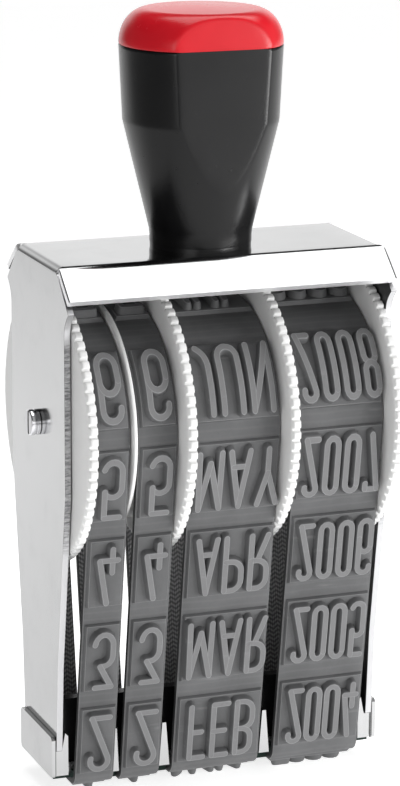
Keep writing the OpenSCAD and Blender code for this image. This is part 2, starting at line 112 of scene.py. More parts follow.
# one node tree; add makes any node, sets it up and links or fills its sockets
class Nodes:
    def __init__(self, tree, shader, coordinates):
        self.tree, self.shader = tree, tree.nodes[shader]
        self.place = self.add("ShaderNodeTexCoord", out=coordinates)

    def add(self, kind, settings={}, values={}, out=0):
        node = self.tree.nodes.new(kind)
        for name, value in settings.items():
            setattr(node, name, value)
        for key, value in values.items():
            if isinstance(value, Wire):
                self.tree.links.new(value.socket, node.inputs[key])
            else:
                node.inputs[key].default_value = value
        return Wire(self, node.outputs[out])

    def feed(self, socket, wire):
        self.tree.links.new(wire.socket, self.shader.inputs[socket])

    def noise(self, scale, detail=3, rough=0.55, where=None):
        return self.add("ShaderNodeTexNoise", {}, {"Vector": where or self.place, "Scale": scale,
                                                   "Detail": detail, "Roughness": rough})

    def stretched(self, scale):
        return self.add("ShaderNodeMapping", {}, {"Vector": self.place, "Scale": scale})

    def mix(self, share, low, high):
        low, high = ((*c, 1) if isinstance(c, tuple) else c for c in (low, high))
        return self.add("ShaderNodeMix", {"data_type": "RGBA"}, {0: share, 6: low, 7: high}, out=2)

    def parts(self, vector):
        split = self.add("ShaderNodeSeparateXYZ", {}, {0: vector}).socket.node
        return [Wire(self, split.outputs[i]) for i in range(3)]

    def normal(self):
        return self.parts(self.add("ShaderNodeTexCoord", out="Normal"))

    def along(self):
        return self.parts(self.add("ShaderNodeUVMap", {"uv_map": "along"}))

    def bump(self, height, depth, strength=1.0):
        return self.add("ShaderNodeBump", {}, {"Height": height, "Distance": depth, "Strength": strength})


# one material; what is the same all over goes straight onto the shader's sockets
class Finish(Nodes):
    def __init__(self, name, **constants):
        self.material = bpy.data.materials.new(name)
        self.material.use_nodes = True
        super().__init__(self.material.node_tree, "Principled BSDF", "Object")
        for socket, value in constants.items():
            self.shader.inputs[socket.replace("_", " ")].default_value = value


# a shape gathers grids of points, in millimetres, and turns into one mesh
class Shape:
    def __init__(self):
        self.points, self.quads, self.slots, self.maps, self.lifts, self.count = [], [], [], [], [], 0

    # quads of a grid of rows and columns; each way may close on itself
    def grid(self, points, closeRows=False, closeColumns=False, slot=0, uv=None, lift=0.0):
        rows, columns = points.shape[:2]
        r, c = np.meshgrid(np.arange(rows - (not closeRows)), np.arange(columns - (not closeColumns)),
                           indexing="ij")
        nextR, nextC = (r + 1) % rows, (c + 1) % columns
        quads = np.stack([r * columns + c, nextR * columns + c, nextR * columns + nextC,
                          r * columns + nextC], -1).reshape(-1, 4)
        self.points.append(points.reshape(-1, 3))
        self.quads.append(quads + self.count)
        self.slots.append(np.broadcast_to(slot, (len(r), r.shape[1])).reshape(-1))
        self.maps.append(np.zeros((rows * columns, 2)) if uv is None else uv.reshape(-1, 2))
        self.lifts.append(np.broadcast_to(lift, (rows, columns)).reshape(-1))
        self.count += rows * columns
        return self

    def build(self, name, finishes, merge=0.0008, inside=False, smoothAngle=35):
        points = np.concatenate(self.points) * mm
        quads = np.concatenate(self.quads)
        if inside:
            quads = quads[:, ::-1]
        mesh = bpy.data.meshes.new(name)
        mesh.vertices.add(len(points))
        mesh.vertices.foreach_set("co", points.astype(np.float32).ravel())
        mesh.loops.add(quads.size)
        mesh.loops.foreach_set("vertex_index", quads.astype(np.int32).ravel())
        mesh.polygons.add(len(quads))
        mesh.polygons.foreach_set("loop_start", np.arange(0, quads.size, 4, dtype=np.int32))
        mesh.polygons.foreach_set("material_index", np.concatenate(self.slots).astype(np.int32))
        mesh.update(calc_edges=True)
        uv = mesh.uv_layers.new(name="along")
        uv.data.foreach_set("uv", np.concatenate(self.maps)[quads.ravel()].astype(np.float32).ravel())
        lift = mesh.attributes.new("lift", "FLOAT", "POINT")
        lift.data.foreach_set("value", np.concatenate(self.lifts).astype(np.float32))
        mesh.validate()
        return finishMesh(name, mesh, finishes, merge, smoothAngle)


# merges doubles, drops collapsed faces and sets smooth shading up to an angle
def finishMesh(name, mesh, finishes, merge, smoothAngle):
    work = bmesh.new()
    work.from_mesh(mesh)
    bmesh.ops.remove_doubles(work, verts=work.verts, dist=merge * mm)
    bmesh.ops.dissolve_degenerate(work, dist=merge * mm * 0.5, edges=work.edges)
    work.to_mesh(mesh)
    work.free()
    for finish in finishes:
        mesh.materials.append(finish.material)
    mesh.shade_smooth()
    mesh.set_sharp_from_angle(angle=math.radians(smoothAngle))
    piece = bpy.data.objects.new(name, mesh)
    bpy.context.scene.collection.objects.link(piece)
    return piece


# a piece rides on a body and stands in for CAD nodes
def seat(piece, body, slot, *nodes):
    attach(piece, body)
    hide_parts(*nodes)
    return piece


# rounds the edges that are sharper than an angle
def bevel(piece, width, angle):
    m = piece.modifiers.new("edges", "BEVEL")
    m.width, m.segments, m.limit_method, m.angle_limit = width * mm, 2, "ANGLE", math.radians(angle)
    m.harden_normals = True
    return piece


# a copy of a CAD node: merged, with flat faces rejoined, and its edges rounded
copySizes = dict(merge=0.002, flatAngle=0.6, merged=0.001, smoothAngle=32, bevelAngle=30)


def cadCopy(name, node, finish, width, q=copySizes):
    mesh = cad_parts[node].data.copy()
    mesh.materials.clear()
    work = bmesh.new()
    work.from_mesh(mesh)
    bmesh.ops.remove_doubles(work, verts=work.verts, dist=q["merge"] * mm)
    bmesh.ops.dissolve_limit(work, angle_limit=math.radians(q["flatAngle"]), verts=work.verts, edges=work.edges)
    work.to_mesh(mesh)
    work.free()
    return bevel(finishMesh(name, mesh, [finish], q["merged"], q["smoothAngle"]), width, q["bevelAngle"])


# spans over which marks on the sheet fade in, in metres: the lips' ends, the foot's seams, the cut edges' hatching
# and the lips' tips
sheetSpans = dict(lipEndX=(0.03778, 0.03788), lipEndY=(0.0150, 0.0154), lipEndZ=(0.1145, 0.1150),
                  seamIn=(0.03822, 0.03834), seamOut=(0.03850, 0.03862), hatchLow=(0.056, 0.063),
                  hatchHigh=(0.1050, 0.1075), tipEdge=(0.1142, 0.1148), tipY=(0.0208, 0.0216), tipZ=(0.113, 0.115))


# chrome with faint clouds, hairlines and smears; its tone is kept for the finishes made from it
def chromeFinish(name, low, high):
    f = Finish(name, Metallic=1.0)
    cloud = f.noise(22, 3)
    hair = f.noise(1.0, 2, 0.6, f.stretched((90, 2600, 260)))
    smear = f.noise(140, 4, 0.65)
    f.feed("Roughness", 0.10 + 0.09 * cloud.band(0.35, 0.75) + 0.06 * hair.band(0.62, 0.8))
    f.tone = f.mix(smear.band(0.45, 0.8), high, low)
    f.feed("Base Color", f.tone)
    f.feed("Normal", f.bump(cloud + 0.02 * hair, 0.00022, 0.35))
    return f


# the frame's sheet with a dark line along the ends of its lips
def sheetFinish():
    f = chromeFinish("chromeSheet", (0.42, 0.422, 0.425), (0.45, 0.452, 0.455))
    _, _, facing = f.normal()
    x, y, z = f.parts(f.place)
    q = sheetSpans
    end = (x.size().band(*q["lipEndX"]) * y.size().band(*q["lipEndY"]) * z.band(*q["lipEndZ"])
           * facing.band(0.3, 0.5))
    f.feed("Base Color", f.mix(end, f.tone, (0.03, 0.03, 0.031)))
    return f


# the foot is the same sheet with painted light on its front faces, which are brighter, and a dark seam beside each
# side plate
def footFinish():
    f = chromeFinish("chromeFoot", (0.395, 0.397, 0.40), (0.43, 0.432, 0.435))
    _, facing, _ = f.normal()
    x, _, _ = f.parts(f.place)
    front = (0 - facing).band(0.5, 0.8)
    seam = x.size().band(*sheetSpans["seamIn"]) * (1 - x.size().band(*sheetSpans["seamOut"])) * front
    # painted light: the front faces get a brighter tone
    paintedFrontLight = f.mix(front, f.tone, (0.56, 0.562, 0.565))
    f.feed("Base Color", f.mix(seam * 0.9, paintedFrontLight, (0.02, 0.02, 0.02)))
    return f


# the sheet's cut edges: hatched on the upper plates, bright at the lips' tips
def cutEdgeFinish():
    f = Finish("shearedEdge", Metallic=1.0)
    hatch = f.noise(1.0, 2, 0.7, f.stretched((500, 500, 2600)))
    grain = f.noise(2200, 3)
    _, _, z = f.parts(f.place)
    upper = z.band(*sheetSpans["hatchLow"]) * (1 - z.band(*sheetSpans["hatchHigh"]))
    rough = f.mix(hatch.band(0.3, 0.7), (0.20, 0.20, 0.205), (0.58, 0.58, 0.59))
    f.feed("Roughness", 0.28 + 0.25 * grain)
    plain = f.mix(z.band(*sheetSpans["tipEdge"]), (0.60, 0.60, 0.61), (0.93, 0.93, 0.94))
    f.feed("Base Color", f.mix(upper, plain, rough))
    f.feed("Normal", f.bump(upper * hatch + 0.15 * grain, 0.00004, 0.5))
    return f


# the sheet's rounded edges: dark lines, but bright along the lips' tips and low on the plates
def edgeLinesFinish():
    f = Finish("roundedEdgeLines", Metallic=1.0)
    grain = f.noise(1500, 3)
    _, y, z = f.parts(f.place)
    q = sheetSpans
    dark = z.band(*q["hatchLow"]) * (1 - y.size().band(*q["tipY"]) * z.band(*q["tipZ"]))
    f.feed("Roughness", 0.25 + 0.2 * grain)
    f.feed("Base Color", f.mix(dark * grain.band(0.2, 0.4), (0.60, 0.60, 0.61), (0.05, 0.05, 0.051)))
    return f


# the sheet's inside, painted dark as shade
def innerFinish():
    f = Finish("paintedShadeInside", Metallic=1.0)
    cloud = f.noise(60, 4)
    grain = f.noise(1300, 3)
    f.feed("Roughness", 0.32 + 0.2 * cloud)
    # painted shade: the inside's tone is dark
    f.feed("Base Color", f.mix(cloud.band(0.3, 0.7), (0.12, 0.12, 0.123), (0.17, 0.17, 0.173)))
    f.feed("Normal", f.bump(grain, 0.00003, 0.5))
    return f


# turned steel; faces that look along the axle have a tone of their own, painted darker than the polished walls as
# shade
def steelFinish(name, rough, tone):
    f = Finish(name, Metallic=1.0)
    rings = f.noise(900, 2, 0.6)
    cloud = f.noise(160, 3)
    f.feed("Roughness", rough + 0.8 * rough * rings)
    turn, _, _ = f.normal()
    wall = f.mix(cloud, (tone, tone, 1.03 * tone), (1.2 * tone, 1.2 * tone, 1.23 * tone))
    # painted shade: faces along the axle get a dark tone by their normal
    f.feed("Base Color", f.mix(turn.size().band(0.9, 0.96), wall, (0.42, 0.42, 0.43)))
    f.feed("Normal", f.bump(rings, 0.00003, 0.5))
    return f


# rubber, toned by the lift of each point: belt sides 0, painted shade, belt 0.1, belt corners 0.2, a painted
# highlight line, pads 0.3 to 0.44, with a painted highlight line at the 0.44 rim, the foot and wall of the type
# 0.5 to 0.92, its face 1 and its middle 1.1, painted darker as shade
linePitch = 1.7


def rubberFinish():
    f = Finish("typeRubber", Specular_IOR_Level=0.34)
    lift = f.add("ShaderNodeAttribute", {"attribute_name": "lift"}, out="Fac")
    grain = f.noise(2600, 4, 0.65)
    dust = f.noise(75, 5, 0.62)
    streak = f.noise(1.0, 3, 0.6, f.stretched((60, 420, 420)))
    s, _, _ = f.along()
    lines = (s * (2 * math.pi / linePitch) + 5 * dust).sine() * (1 - lift.band(0.14, 0.18))
    body = f.mix(dust.band(0.3, 0.8), (0.104, 0.105, 0.107), (0.140, 0.141, 0.144))
    lined = f.mix(lines.band(0.3, 1.0) * 0.14, body, (0.20, 0.20, 0.203))
    # painted highlight lines along the belt corners and the pads' rims
    edges = (lift.band(0.15, 0.19) * (1 - lift.band(0.21, 0.25))
             + lift.band(0.40, 0.43) * (1 - lift.band(0.45, 0.48)))
    # painted shade: the belt's sides are dark
    paintedShadeSides = f.mix(lift.band(0.03, 0.09), (0.03, 0.03, 0.031), lined)
    paintedEdgesAndSides = f.mix(edges * 0.7, paintedShadeSides, (0.30, 0.30, 0.304))
    face = f.mix(dust.band(0.35, 0.75), (0.235, 0.236, 0.24), (0.285, 0.286, 0.29))
    # painted shade: the middle of the type face is darker than its edges
    paintedShading = f.mix(lift.band(1.01, 1.04) * 0.8, face, (0.165, 0.165, 0.168))
    shade = f.mix(lift.band(0.93, 0.995), paintedEdgesAndSides, paintedShading)
    pale = f.mix(streak.band(0.62, 0.82) * 0.35, shade, (0.30, 0.30, 0.305))
    f.feed("Base Color", f.mix(grain.band(0.55, 0.8) * 0.22, pale, (0.05, 0.05, 0.052)))
    f.feed("Roughness", 0.46 + 0.22 * dust + 0.08 * grain)
    f.feed("Normal", f.bump(grain + 0.6 * dust, 0.00005, 0.55))
    return f


# the belt's woven back: chevron ribs crossed by threads, lengths in millimetres
wovenSizes = dict(zigzag=1.1, slant=0.7, rib=1.05, thread=0.55)


def wovenFinish(q=wovenSizes):
    f = Finish("wovenBack", Specular_IOR_Level=0.25)
    s, x, _ = f.along()
    zigzag = x.calc("PINGPONG", x, q["zigzag"])
    ribs = 0.5 + 0.5 * ((s + q["slant"] * zigzag) * (2 * math.pi / q["rib"])).sine()
    weave = 0.5 + 0.5 * (x * (2 * math.pi / q["thread"])).sine()
    fuzz = f.noise(1800, 4, 0.7)
    thread = (0.6 * ribs + 0.4 * weave) * (0.6 + 0.6 * fuzz)
    f.feed("Base Color", f.mix(thread.band(0.15, 0.95), (0.18, 0.18, 0.183), (0.60, 0.60, 0.605)))
    f.feed("Roughness", 0.75 + 0.2 * fuzz)
    f.feed("Normal", f.bump(0.6 * ribs + 0.4 * weave + 0.2 * fuzz, 0.00012, 0.9))
    return f


# the wheels' white plastic, a little dirty
def whiteFinish():
    f = Finish("wheelPlastic", Specular_IOR_Level=0.45)
    cloud = f.noise(60, 4)
    grain = f.noise(1700, 3)
    dirt = f.noise(260, 5, 0.7)
    clean = f.mix(cloud, (0.83, 0.83, 0.825), (0.89, 0.89, 0.885))
    f.feed("Base Color", f.mix(dirt.band(0.66, 0.88) * 0.2, clean, (0.62, 0.61, 0.60)))
    f.feed("Roughness", 0.36 + 0.16 * cloud)
    f.feed("Normal", f.bump(grain + 0.5 * cloud, 0.00003, 0.4))
    return f


# moulded plastic of the handle and the block
def mouldedFinish(name, dark, light, rough, gloss):
    f = Finish(name, Specular_IOR_Level=gloss)
    cloud = f.noise(45, 4)
    grain = f.noise(2300, 3, 0.6)
    dust = f.noise(420, 5, 0.75)
    tone = f.mix(cloud.band(0.3, 0.7), dark, light)
    f.feed("Base Color", f.mix(dust.band(0.74, 0.92) * 0.08, tone, (0.5, 0.5, 0.5)))
    f.feed("Roughness", rough + 0.07 * cloud + 0.10 * dust.band(0.5, 0.9))
    f.feed("Normal", f.bump(grain, 0.000035, 0.5))
    return f


# the dark felt liner under the foot
def linerFinish():
    f = Finish("linerFelt", Specular_IOR_Level=0.2)
    fibre = f.noise(1400, 5, 0.75)
    cloud = f.noise(120, 3)
    f.feed("Base Color", f.mix(fibre, (0.008, 0.014, 0.012), (0.03, 0.05, 0.043)))
    f.feed("Roughness", 0.8 + 0.15 * cloud)
    f.feed("Normal", f.bump(fibre, 0.0001, 0.6))
    return f


chrome = sheetFinish()
footChrome, cutEdge, paintedShadeInside, edgeLines = footFinish(), cutEdgeFinish(), innerFinish(), edgeLinesFinish()
steel, polished = steelFinish("turnedSteel", 0.2, 0.36), steelFinish("polishedSteel", 0.07, 0.70)
rubber, woven, white, liner = rubberFinish(), wovenFinish(), whiteFinish(), linerFinish()
blackGrip = mouldedFinish("blackGrip", (0.0032, 0.0032, 0.0035), (0.0055, 0.0055, 0.0059), 0.2, 0.30)
redCap = mouldedFinish("redCap", (0.60, 0.008, 0.016), (0.67, 0.012, 0.022), 0.19, 0.3)
print("finishes made")


# the bands: places along the axle, the path they follow and the type they carry
bandSizes = dict(flatHalf=9.3, cornerR=2.0, drumGap=23.3, axleZ=84.8, faceH=4.0, beltT=1.5, beltRound=0.22,
                 padH=0.9, padLen=16.6, padMargin=0.4, padSlope=0.5, padSink=0.05, pitch=20.6, frontRows=5,
                 stripExtra=4.3, positions=12, typeSink=0.25, faceSink=0.02, stagger=0.003,
                 samples=(7, 9, 25, 61, 25, 9), clear=0.15, merge=0.0004, smoothAngle=40)
bandRows = dict(days=list("1234567890"),
                months="JAN FEB MAR APR MAY JUN JUL AUG SEP OCT NOV DEC".split(),
                years=[str(2003 + k) for k in range(12)])
# left edge, width, what the band carries and how far it is rolled up the front
bandPlaces = {"band_tens": (-34.3, 9.1, "days", 0.4), "band_units": (-23.4, 9.1, "days", 0.4),
              "band_month": (-11.2, 20.9, "months", 0.2), "band_year": (13.4, 20.9, "years", 1.2)}
strokeSizes = dict(topHalf=0.74, footHalf=1.16, round=0.14, step=0.75, capSteps=7, wallOut=0.1, wallDrop=0.42,
                   paintedShadeHalf=0.22, rise=0.006, riseFrom=3, arcStep=12, arcLeast=5)
# the type's height and the widths and gaps of its characters
typeSizes = dict(high=12.9, dayW=4.2, yearW=2.75, oneW=2.2, yearGap=1.6, gapGrowth=0.14, gapMost=2.3,
                 monthGap=2.2, juneGap=2.6)


# a band's closed path, laid out by length
class BandPath:
    def __init__(self, b):
        self.b = b
        drop = b["axleZ"] - b["faceH"] - b["cornerR"]
        reach = math.hypot(drop, b["flatHalf"])
        self.lean = math.asin((b["drumGap"] - b["cornerR"]) / reach) - math.atan2(b["flatHalf"], drop)
        runLen = math.sqrt(reach ** 2 - (b["drumGap"] - b["cornerR"]) ** 2)
        corner = b["cornerR"] * (math.pi / 2 - self.lean)
        drum = b["drumGap"] * (math.pi + 2 * self.lean)
        self.marks = np.cumsum([-b["flatHalf"], 2 * b["flatHalf"], corner, runLen, drum, runLen, corner])
        self.length = self.marks[-1] - self.marks[0]

    # rows up the front stand one pitch apart; above them is a longer plain strip, and the others share the rest
    def rowAt(self, k):
        b = self.b
        near, extra = b["frontRows"], b["stripExtra"]
        rest = (self.length - extra - near * b["pitch"]) / (b["positions"] - near)
        return k * b["pitch"] if k <= near else near * b["pitch"] + extra + (k - near) * rest

    # along the path: flat under the foot, front corner, front run, drum, rear run, rear corner;
    # s is the length from the flat's middle towards the front, h the height off the belt's inner face
    def at(self, s, x, h):
        b, lean = self.b, self.lean
        m = self.marks
        s, x, h = np.broadcast_arrays(np.asarray(s, float), x, h)
        u = (s - m[0]) % self.length + m[0]
        z0 = b["faceH"] + b["cornerR"]
        inside = [u < m[1], u < m[2], u < m[3], u < m[4], u < m[5], u <= m[6] + 1]
        frontA = 1.5 * math.pi - (u - m[1]) / b["cornerR"]
        drumA = math.pi + lean - (u - m[3]) / b["drumGap"]
        rearA = -lean - (u - m[5]) / b["cornerR"]
        out = (math.cos(lean), math.sin(lean))
        yFoot, zFoot = b["flatHalf"] + b["cornerR"] * out[0], z0 - b["cornerR"] * out[1]
        yRun = yFoot + h * out[0]
        y = np.select(inside, [-u, -b["flatHalf"] + (b["cornerR"] + h) * np.cos(frontA),
                               -yRun - (u - m[2]) * out[1], (b["drumGap"] + h) * np.cos(drumA),
                               yRun + (m[5] - u) * out[1],
                               b["flatHalf"] + (b["cornerR"] + h) * np.cos(rearA)])
        zRun = zFoot - h * out[1]
        z = np.select(inside, [b["faceH"] - h, z0 + (b["cornerR"] + h) * np.sin(frontA),
                               zRun + (u - m[2]) * out[0], b["axleZ"] + (b["drumGap"] + h) * np.sin(drumA),
                               zRun + (m[5] - u) * out[0], z0 + (b["cornerR"] + h) * np.sin(rearA)])
        return np.stack([x, y, z], -1)

    # lengths to sample between s0 and s1: close together round the corners and the drum
    def samples(self, s0, s1):
        m, clear = self.marks, self.b["clear"]
        parts = [np.linspace(*ends) for ends in zip(m[:-1], m[1:], self.b["samples"])]
        one = np.unique(np.concatenate(parts).round(6))[:-1]
        every = np.concatenate([one - self.length, one, one + self.length])
        return every[(every > s0 + clear) & (every < s1 - clear)]


path = BandPath(bandSizes)


# strokes of the type: straight pieces and arcs in millimetres, resampled to even steps
def arc(cx, cy, rx, ry, a0, a1):
    q = strokeSizes
    a = np.radians(np.linspace(a0, a1, max(q["arcLeast"], int(abs(a1 - a0) / q["arcStep"]))))
    return np.stack([cx + rx * np.cos(a), cy + ry * np.sin(a)], 1)


def chain(*parts):
    p = np.concatenate([np.atleast_2d(np.asarray(q, float)) for q in parts])
    keep = np.r_[True, np.linalg.norm(np.diff(p, axis=0), axis=1) > 1e-6]
    p = p[keep]
    run = np.r_[0, np.cumsum(np.linalg.norm(np.diff(p, axis=0), axis=1))]
    n = max(3, int(math.ceil(run[-1] / strokeSizes["step"])) + 1)
    t = np.linspace(0, run[-1], n)
    return np.stack([np.interp(t, run, p[:, 0]), np.interp(t, run, p[:, 1])], 1)


def oval(w, y0, y1):
    r = w / 2
    ry = min(r * 1.15, (y1 - y0) / 2)
    return chain(arc(r, y1 - ry, r, ry, 0, 180), arc(r, y0 + ry, r, ry, 180, 360), [[w, y1 - ry]])


# a bowl on a stem: out along the top, round, and back along the bottom
def bowl(w, y0, y1):
    r = min(w * 0.62, (y1 - y0) / 2)
    return chain([[0, y1]], arc(w - r, y1 - r, r, r, 90, 0), arc(w - r, y0 + r, r, r, 0, -90), [[0, y0]])


def letterStrokes(c, w, h):
    r = w / 2
    if c in "0O":
        return [oval(w, 0, h)]
    if c == "1":
        return [chain([[0.12 * w, 0.8 * h], [0.62 * w, h]]), chain([[0.62 * w, h], [0.62 * w, 0]])]
    if c == "2":
        return [chain(arc(r, h - r, r, r, 200, -22), [[0.02 * w, 0]]), chain([[0, 0], [w, 0]])]
    if c == "3":
        return [chain([[0.05 * w, h], [0.95 * w, h]]), chain([[0.95 * w, h], [0.3 * w, 0.6 * h]]),
                chain([[0.3 * w, 0.6 * h]], arc(0.48 * w, 0.6 * h - 1.25 * r, 1.02 * r, 1.25 * r, 88, 0),
                      arc(0.48 * w, 1.3 * r, 1.02 * r, 1.3 * r, 0, -172))]
    if c == "4":
        return [chain([[0.45 * w, h], [0, 0.2 * h]]), chain([[0, 0.2 * h], [w, 0.2 * h]]),
                chain([[0.7 * w, 0.43 * h], [0.7 * w, 0]])]
    if c == "5":
        return [chain([[0.08 * w, h], [0.92 * w, h]]), chain([[0.08 * w, h], [0.08 * w, 0.52 * h]]),
                chain([[0.08 * w, 0.52 * h]], arc(0.5 * w, 0.63 * h - r, r, r, 140, 0),
                      arc(0.5 * w, r, r, r, 0, -165))]
    if c == "6":
        return [oval(w, 0, 0.6 * h), chain([[0, 0.34 * h]], arc(r, h - r, r, r, 180, -8))]
    if c == "7":
        return [chain([[0, h], [w, h]]), chain([[w, h], [0.36 * w, 0]]), chain([[0, h], [0, 0.89 * h]])]
    if c == "8":
        return [oval(w, 0, 0.51 * h), oval(w, 0.51 * h, h)]
    if c == "9":
        return [oval(w, 0.4 * h, h), chain([[w, 0.66 * h]], arc(r, r, r, r, 0, -188))]
    if c == "A":
        return [chain([[0, 0], [r, h]]), chain([[r, h], [w, 0]]),
                chain([[0.15 * w, 0.27 * h], [0.85 * w, 0.27 * h]])]
    if c == "B":
        return [chain([[0, 0], [0, h]]), bowl(0.92 * w, 0.53 * h, h), bowl(w, 0, 0.53 * h)]
    if c == "C":
        return [chain([[w, h - 1.5 * r]], arc(r, h - r, r, r, 0, 180), arc(r, r, r, r, 180, 360),
                      [[w, 1.5 * r]])]
    if c == "D":
        return [chain([[0, 0], [0, h]]), bowl(w, 0, h)]
    if c == "E":
        return [chain([[0, 0], [0, h]]), chain([[0, h], [w, h]]),
                chain([[0, 0.52 * h], [0.82 * w, 0.52 * h]]), chain([[0, 0], [w, 0]])]
    if c == "F":
        return [chain([[0, 0], [0, h]]), chain([[0, h], [w, h]]),
                chain([[0, 0.5 * h], [0.82 * w, 0.5 * h]])]
    if c == "G":
        return [chain([[w, h - 1.5 * r]], arc(r, h - r, r, r, 0, 180), arc(r, r, r, r, 180, 360),
                      [[w, 0.44 * h]]),
                chain([[0.55 * w, 0.44 * h], [w, 0.44 * h]])]
    if c == "J":
        return [chain([[w, h]], arc(w - 0.32 * h, 0.278 * h, 0.32 * h, 0.32 * h, 0, -60.5))]
    if c == "L":
        return [chain([[0, 0], [0, h]]), chain([[0, 0], [w, 0]])]
    if c == "M":
        return [chain([[0, 0], [0.04 * w, h]]), chain([[0.04 * w, h], [r, 0.16 * h]]),
                chain([[r, 0.16 * h], [0.96 * w, h]]), chain([[0.96 * w, h], [w, 0]])]
    if c == "N":
        return [chain([[0, 0], [0, h]]), chain([[0, h], [w, 0]]), chain([[w, 0], [w, h]])]
    if c == "P":
        return [chain([[0, 0], [0, h]]), bowl(w, 0.45 * h, h)]
    if c == "R":
        return [chain([[0, 0], [0, h]]), bowl(w, 0.47 * h, h), chain([[0.42 * w, 0.47 * h], [w, 0]])]
    if c == "S":
        return [chain(arc(r, h - r, r, r, -10, 180), [[0.06 * w, 0.66 * h], [0.94 * w, 0.36 * h]],
                      arc(r, r, r, r, 0, -190))]
    if c == "T":
        return [chain([[0, h], [w, h]]), chain([[r, h], [r, 0]])]
    if c == "U":
        return [chain([[0, h]], arc(r, r, r, r, 180, 360), [[w, h]])]
    if c == "V":
        return [chain([[0, h], [r, 0]]), chain([[r, 0], [w, h]])]
    return [chain([[0, h], [r, 0.42 * h]]), chain([[w, h], [r, 0.42 * h]]), chain([[r, 0.42 * h], [r, 0]])]


letterWidths = dict(J=2.1, A=4.4, N=4.4, F=3.2, E=3.4, B=3.8, M=5.2, R=3.8, P=3.8, Y=4.4, U=4.4, L=3.2, G=3.9,
                    S=3.7, O=3.9, C=3.8, T=3.9, V=4.3, D=3.9)


# each stroke's line in the band's own coordinates; type on a band is upside down when seen from the front
def rowStrokes(text, kind, row):
    q = typeSizes
    high = q["high"]
    if kind == "days":
        widths, gap = [q["dayW"]], 0
    elif kind == "years":
        widths = [q["yearW"] if c != "1" else q["oneW"] for c in text]
        gap = min(q["yearGap"] + q["gapGrowth"] * row, q["gapMost"])
    else:
        widths = [letterWidths[c] for c in text]
        gap = q["juneGap"] if text == "JUN" else q["monthGap"]
    start = -(sum(widths) + gap * (len(text) - 1)) / 2
    strokes = []
    for c, w in zip(text, widths):
        strokes += [p + [start, -high / 2] for p in letterStrokes(c, w, high)]
        start += w + gap
    return strokes


# a ridge along a line: a closed loop at offset d (left side, round end, right side, round start),
# stacked from the middle of the foot out, up the sloping wall, over a small round and in again on top
def ridge(line, z):
    d = np.gradient(line, axis=0)
    d /= np.linalg.norm(d, axis=1)[:, None]
    n = np.stack([-d[:, 1], d[:, 0]], 1)
    k = strokeSizes["capSteps"]
    turn = np.linspace(0, math.pi, k + 2)[1:-1, None]
    endCap = n[-1] * np.cos(turn) + d[-1] * np.sin(turn)
    startCap = -n[0] * np.cos(turn) - d[0] * np.sin(turn)
    spine = np.concatenate([line, np.repeat(line[-1:], k, 0), line[::-1], np.repeat(line[:1], k, 0)])
    reach = np.concatenate([n, endCap, -n[::-1], startCap])
    t = np.linspace(0, 1, len(line))
    q = strokeSizes
    rise = np.concatenate([t, np.ones(k), t[::-1], np.zeros(k)]) * q["rise"]
    top, foot, rnd = q["topHalf"], q["footHalf"], q["round"]
    # each ring's offset, height and lift
    # the innermost rings on top carry lift 1.1, the middle of the face that is painted darker as shade
    rings = [(0, z["foot"], 0.5), (foot, z["foot"], 0.5), (top + q["wallOut"], z["top"] - q["wallDrop"], 0.75),
             (top, z["top"] - rnd, 0.92), (top - rnd, z["top"], 1.0), (q["paintedShadeHalf"], z["top"], 1.1),
             (0, z["top"], 1.1)]
    flat = np.stack([spine + reach * off for off, _, _ in rings])
    heights = np.stack([np.full(len(spine), up) + rise * (up > q["riseFrom"]) for _, up, _ in rings])
    lifts = np.stack([np.full(len(spine), l) for _, _, l in rings])
    return flat, heights, lifts


# a raised pad: a sheet over s and x whose height rises with the distance to its nearest edge;
# the lifts run from the edge inwards, and the rim is the highest, for a painted highlight line along it
padSizes = dict(edge=(0, 0.12, 0.28, 0.42), lifts=(0.30, 0.32, 0.36, 0.44, 0.38), curve=1.7)


def padSheet(shape, s0, s1, x0, x1, low, high, slope):
    edge = np.array([*padSizes["edge"], slope])
    inner = path.samples(s0 + slope, s1 - slope)
    s = np.concatenate([s0 + edge, inner, (s1 - edge)[::-1]])
    x = np.concatenate([x0 + edge, np.linspace(x0 + slope, x1 - slope, 6)[1:-1], (x1 - edge)[::-1]])
    S, X = np.meshgrid(s, x, indexing="ij")
    near = np.minimum(np.minimum(S - s0, s1 - S), np.minimum(X - x0, x1 - X)) / slope
    near = np.clip(near, 0, 1)
    rim = np.interp(near, edge / slope, padSizes["lifts"])
    H = low + (high - low) * (1 - (1 - near) ** padSizes["curve"])
    shape.grid(path.at(S, X, H), uv=np.stack([S, X], -1), lift=rim)


